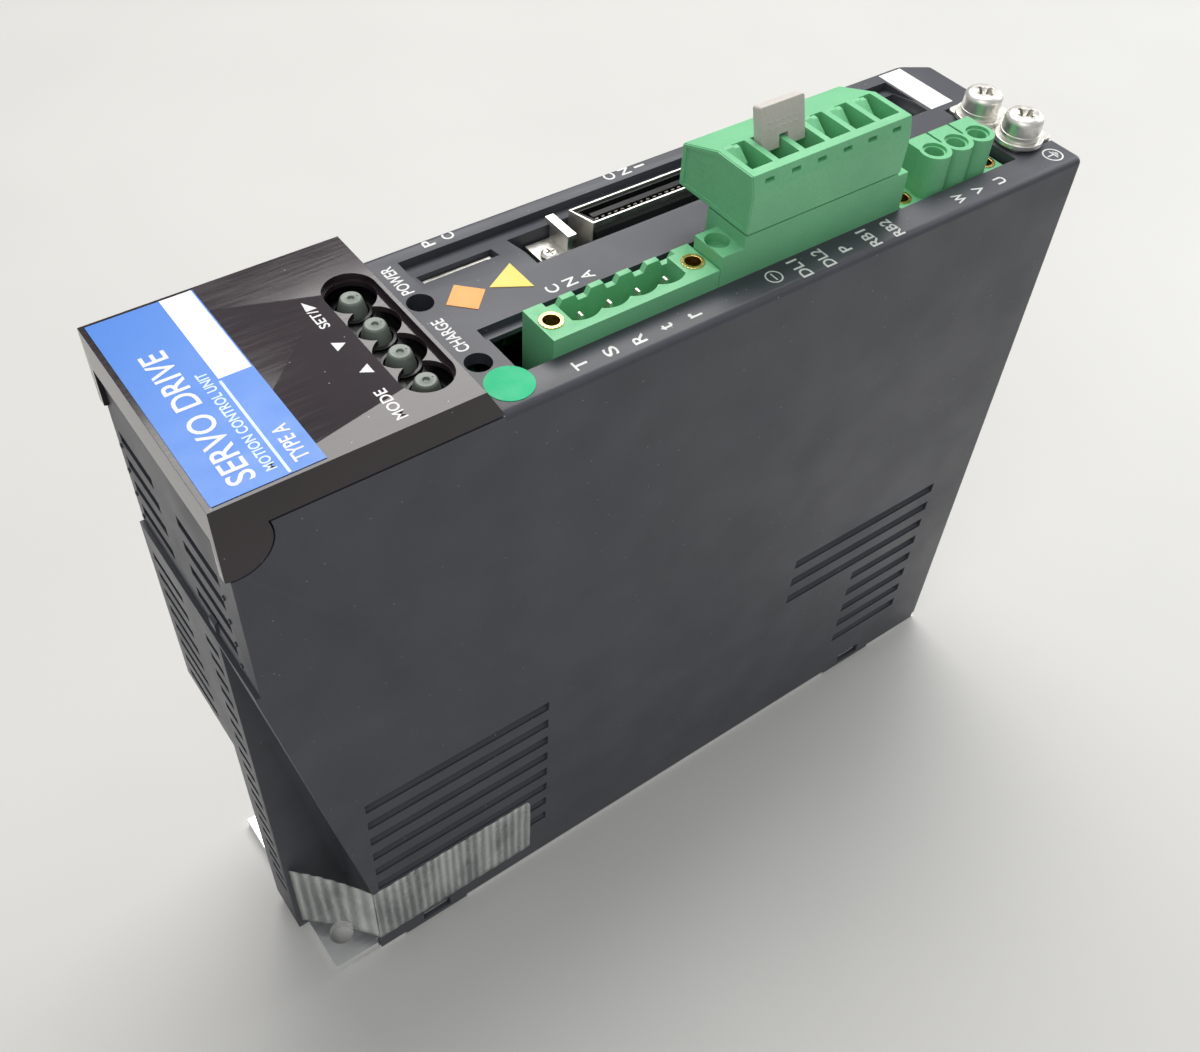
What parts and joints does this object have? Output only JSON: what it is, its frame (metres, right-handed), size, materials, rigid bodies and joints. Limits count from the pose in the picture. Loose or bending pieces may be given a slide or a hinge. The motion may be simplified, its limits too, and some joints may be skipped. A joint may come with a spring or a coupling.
{
  "type": "servo drive",
  "caption": "Slim servo drive lying on its mounting plate, with a hinged operator cover over push buttons, terminal headers, a removable plug with a bridge bar, and earth screws.",
  "frame": {"origin": "centre of the back of the mounting plate, which the drive lies on", "axes": "+X from the operator end to the earth end, +Z out of the front face, +Y towards the flat side cover"},
  "size_m": [0.16, 0.04, 0.1505],
  "materials": {
    "case_grey": "satin",
    "cover_smoke": "gloss",
    "case_side": "satin",
    "plate_aluminium": "brushed",
    "steel_sheet": "satin",
    "sink_black": "anodised",
    "steel_screw": "bright",
    "nickel": "bright",
    "tin": "satin",
    "brass_insert": "bright",
    "mint_plastic": "satin",
    "green_plastic": "satin",
    "board_green": "satin",
    "black_plastic": "satin",
    "capacitor_sleeve": "gloss",
    "ferrite": "satin",
    "relay_plastic": "satin",
    "ceramic_white": "matte",
    "button_grey": "satin",
    "lamp_clear": "clear",
    "bar_grey": "satin",
    "label_blue": "satin",
    "patch_white": "satin",
    "sticker_orange": "satin",
    "sticker_yellow": "satin",
    "sticker_green": "matte"
  },
  "bodies": {
    "case": {"main_case": "case_grey", "side_cover": "case_side", "mounting_plate": "plate_aluminium", "chassis_wall": "steel_sheet", "heat_sink": "sink_black", "power_module": "black_plastic", "module_screws": "steel_screw", "bridge_rectifier": "black_plastic", "power_board": "board_green", "bus_capacitors": "capacitor_sleeve", "filter_choke": "ferrite", "charge_relays": "relay_plastic", "heat_resistor": "ceramic_white", "control_board": "board_green", "control_chips": "black_plastic", "board_spacers": "brass_insert", "board_screws": "steel_screw", "front_board": "board_green", "board_links": "black_plastic", "operator_board": "board_green", "display_module": "black_plastic", "button_switches": "black_plastic", "button_bezel": "black_plastic", "indicator_lights": "lamp_clear", "hinge_pins": "steel_screw", "mains_header": "mint_plastic", "mains_pins": "tin", "mains_inserts": "brass_insert", "bus_header": "mint_plastic", "bus_pins": "tin", "motor_header": "mint_plastic", "motor_sockets": "tin", "motor_inserts": "brass_insert", "signal_shells": "nickel", "signal_inserts": "black_plastic", "signal_contacts": "tin", "signal_latches": "nickel", "signal_screws": "nickel", "service_port": "nickel", "earth_plate": "nickel", "flat_washers": "nickel", "spring_washers": "nickel", "earth_screws": "nickel", "caution_diamond": "sticker_orange", "caution_triangle": "sticker_yellow", "inspection_dot": "sticker_green", "blank_sticker": "patch_white"},
    "cover": {"operator_cover": "cover_smoke", "name_label": "label_blue", "type_patch": "patch_white"},
    "plug": {"bus_plug": "green_plastic", "plug_clamps": "tin"},
    "bar": {"short_bar_grip": "bar_grey", "short_bar_prongs": "tin"},
    "button_enter_cap": {"button_enter": "button_grey"},
    "button_down_cap": {"button_down": "button_grey"},
    "button_up_cap": {"button_up": "button_grey"},
    "button_mode_cap": {"button_mode": "button_grey"}
  },
  "joints": [
    {"name": "cover_hinge", "type": "hinge", "parent": "case", "child": "cover", "pos_m": [-0.0782, 0, 0.126], "axis": [0, -1, 0], "range_deg": [0, 90]},
    {"name": "button_enter_press", "type": "slide", "parent": "case", "child": "button_enter_cap", "axis": [0, 0, -1], "range_m": [0, 0.00045], "stiffness_N_per_m": 1500, "springref_m": -0.0002},
    {"name": "button_down_press", "type": "slide", "parent": "case", "child": "button_down_cap", "axis": [0, 0, -1], "range_m": [0, 0.00045], "stiffness_N_per_m": 1500, "springref_m": -0.0002},
    {"name": "button_up_press", "type": "slide", "parent": "case", "child": "button_up_cap", "axis": [0, 0, -1], "range_m": [0, 0.00045], "stiffness_N_per_m": 1500, "springref_m": -0.0002},
    {"name": "button_mode_press", "type": "slide", "parent": "case", "child": "button_mode_cap", "axis": [0, 0, -1], "range_m": [0, 0.00045], "stiffness_N_per_m": 1500, "springref_m": -0.0002},
    {"name": "plug_pull", "type": "slide", "parent": "case", "child": "plug", "axis": [0, 0, 1], "range_m": [0, 0.014]},
    {"name": "bar_pull", "type": "slide", "parent": "plug", "child": "bar", "axis": [0, 0.2588, 0.9659], "range_m": [0, 0.01]}
  ]
}
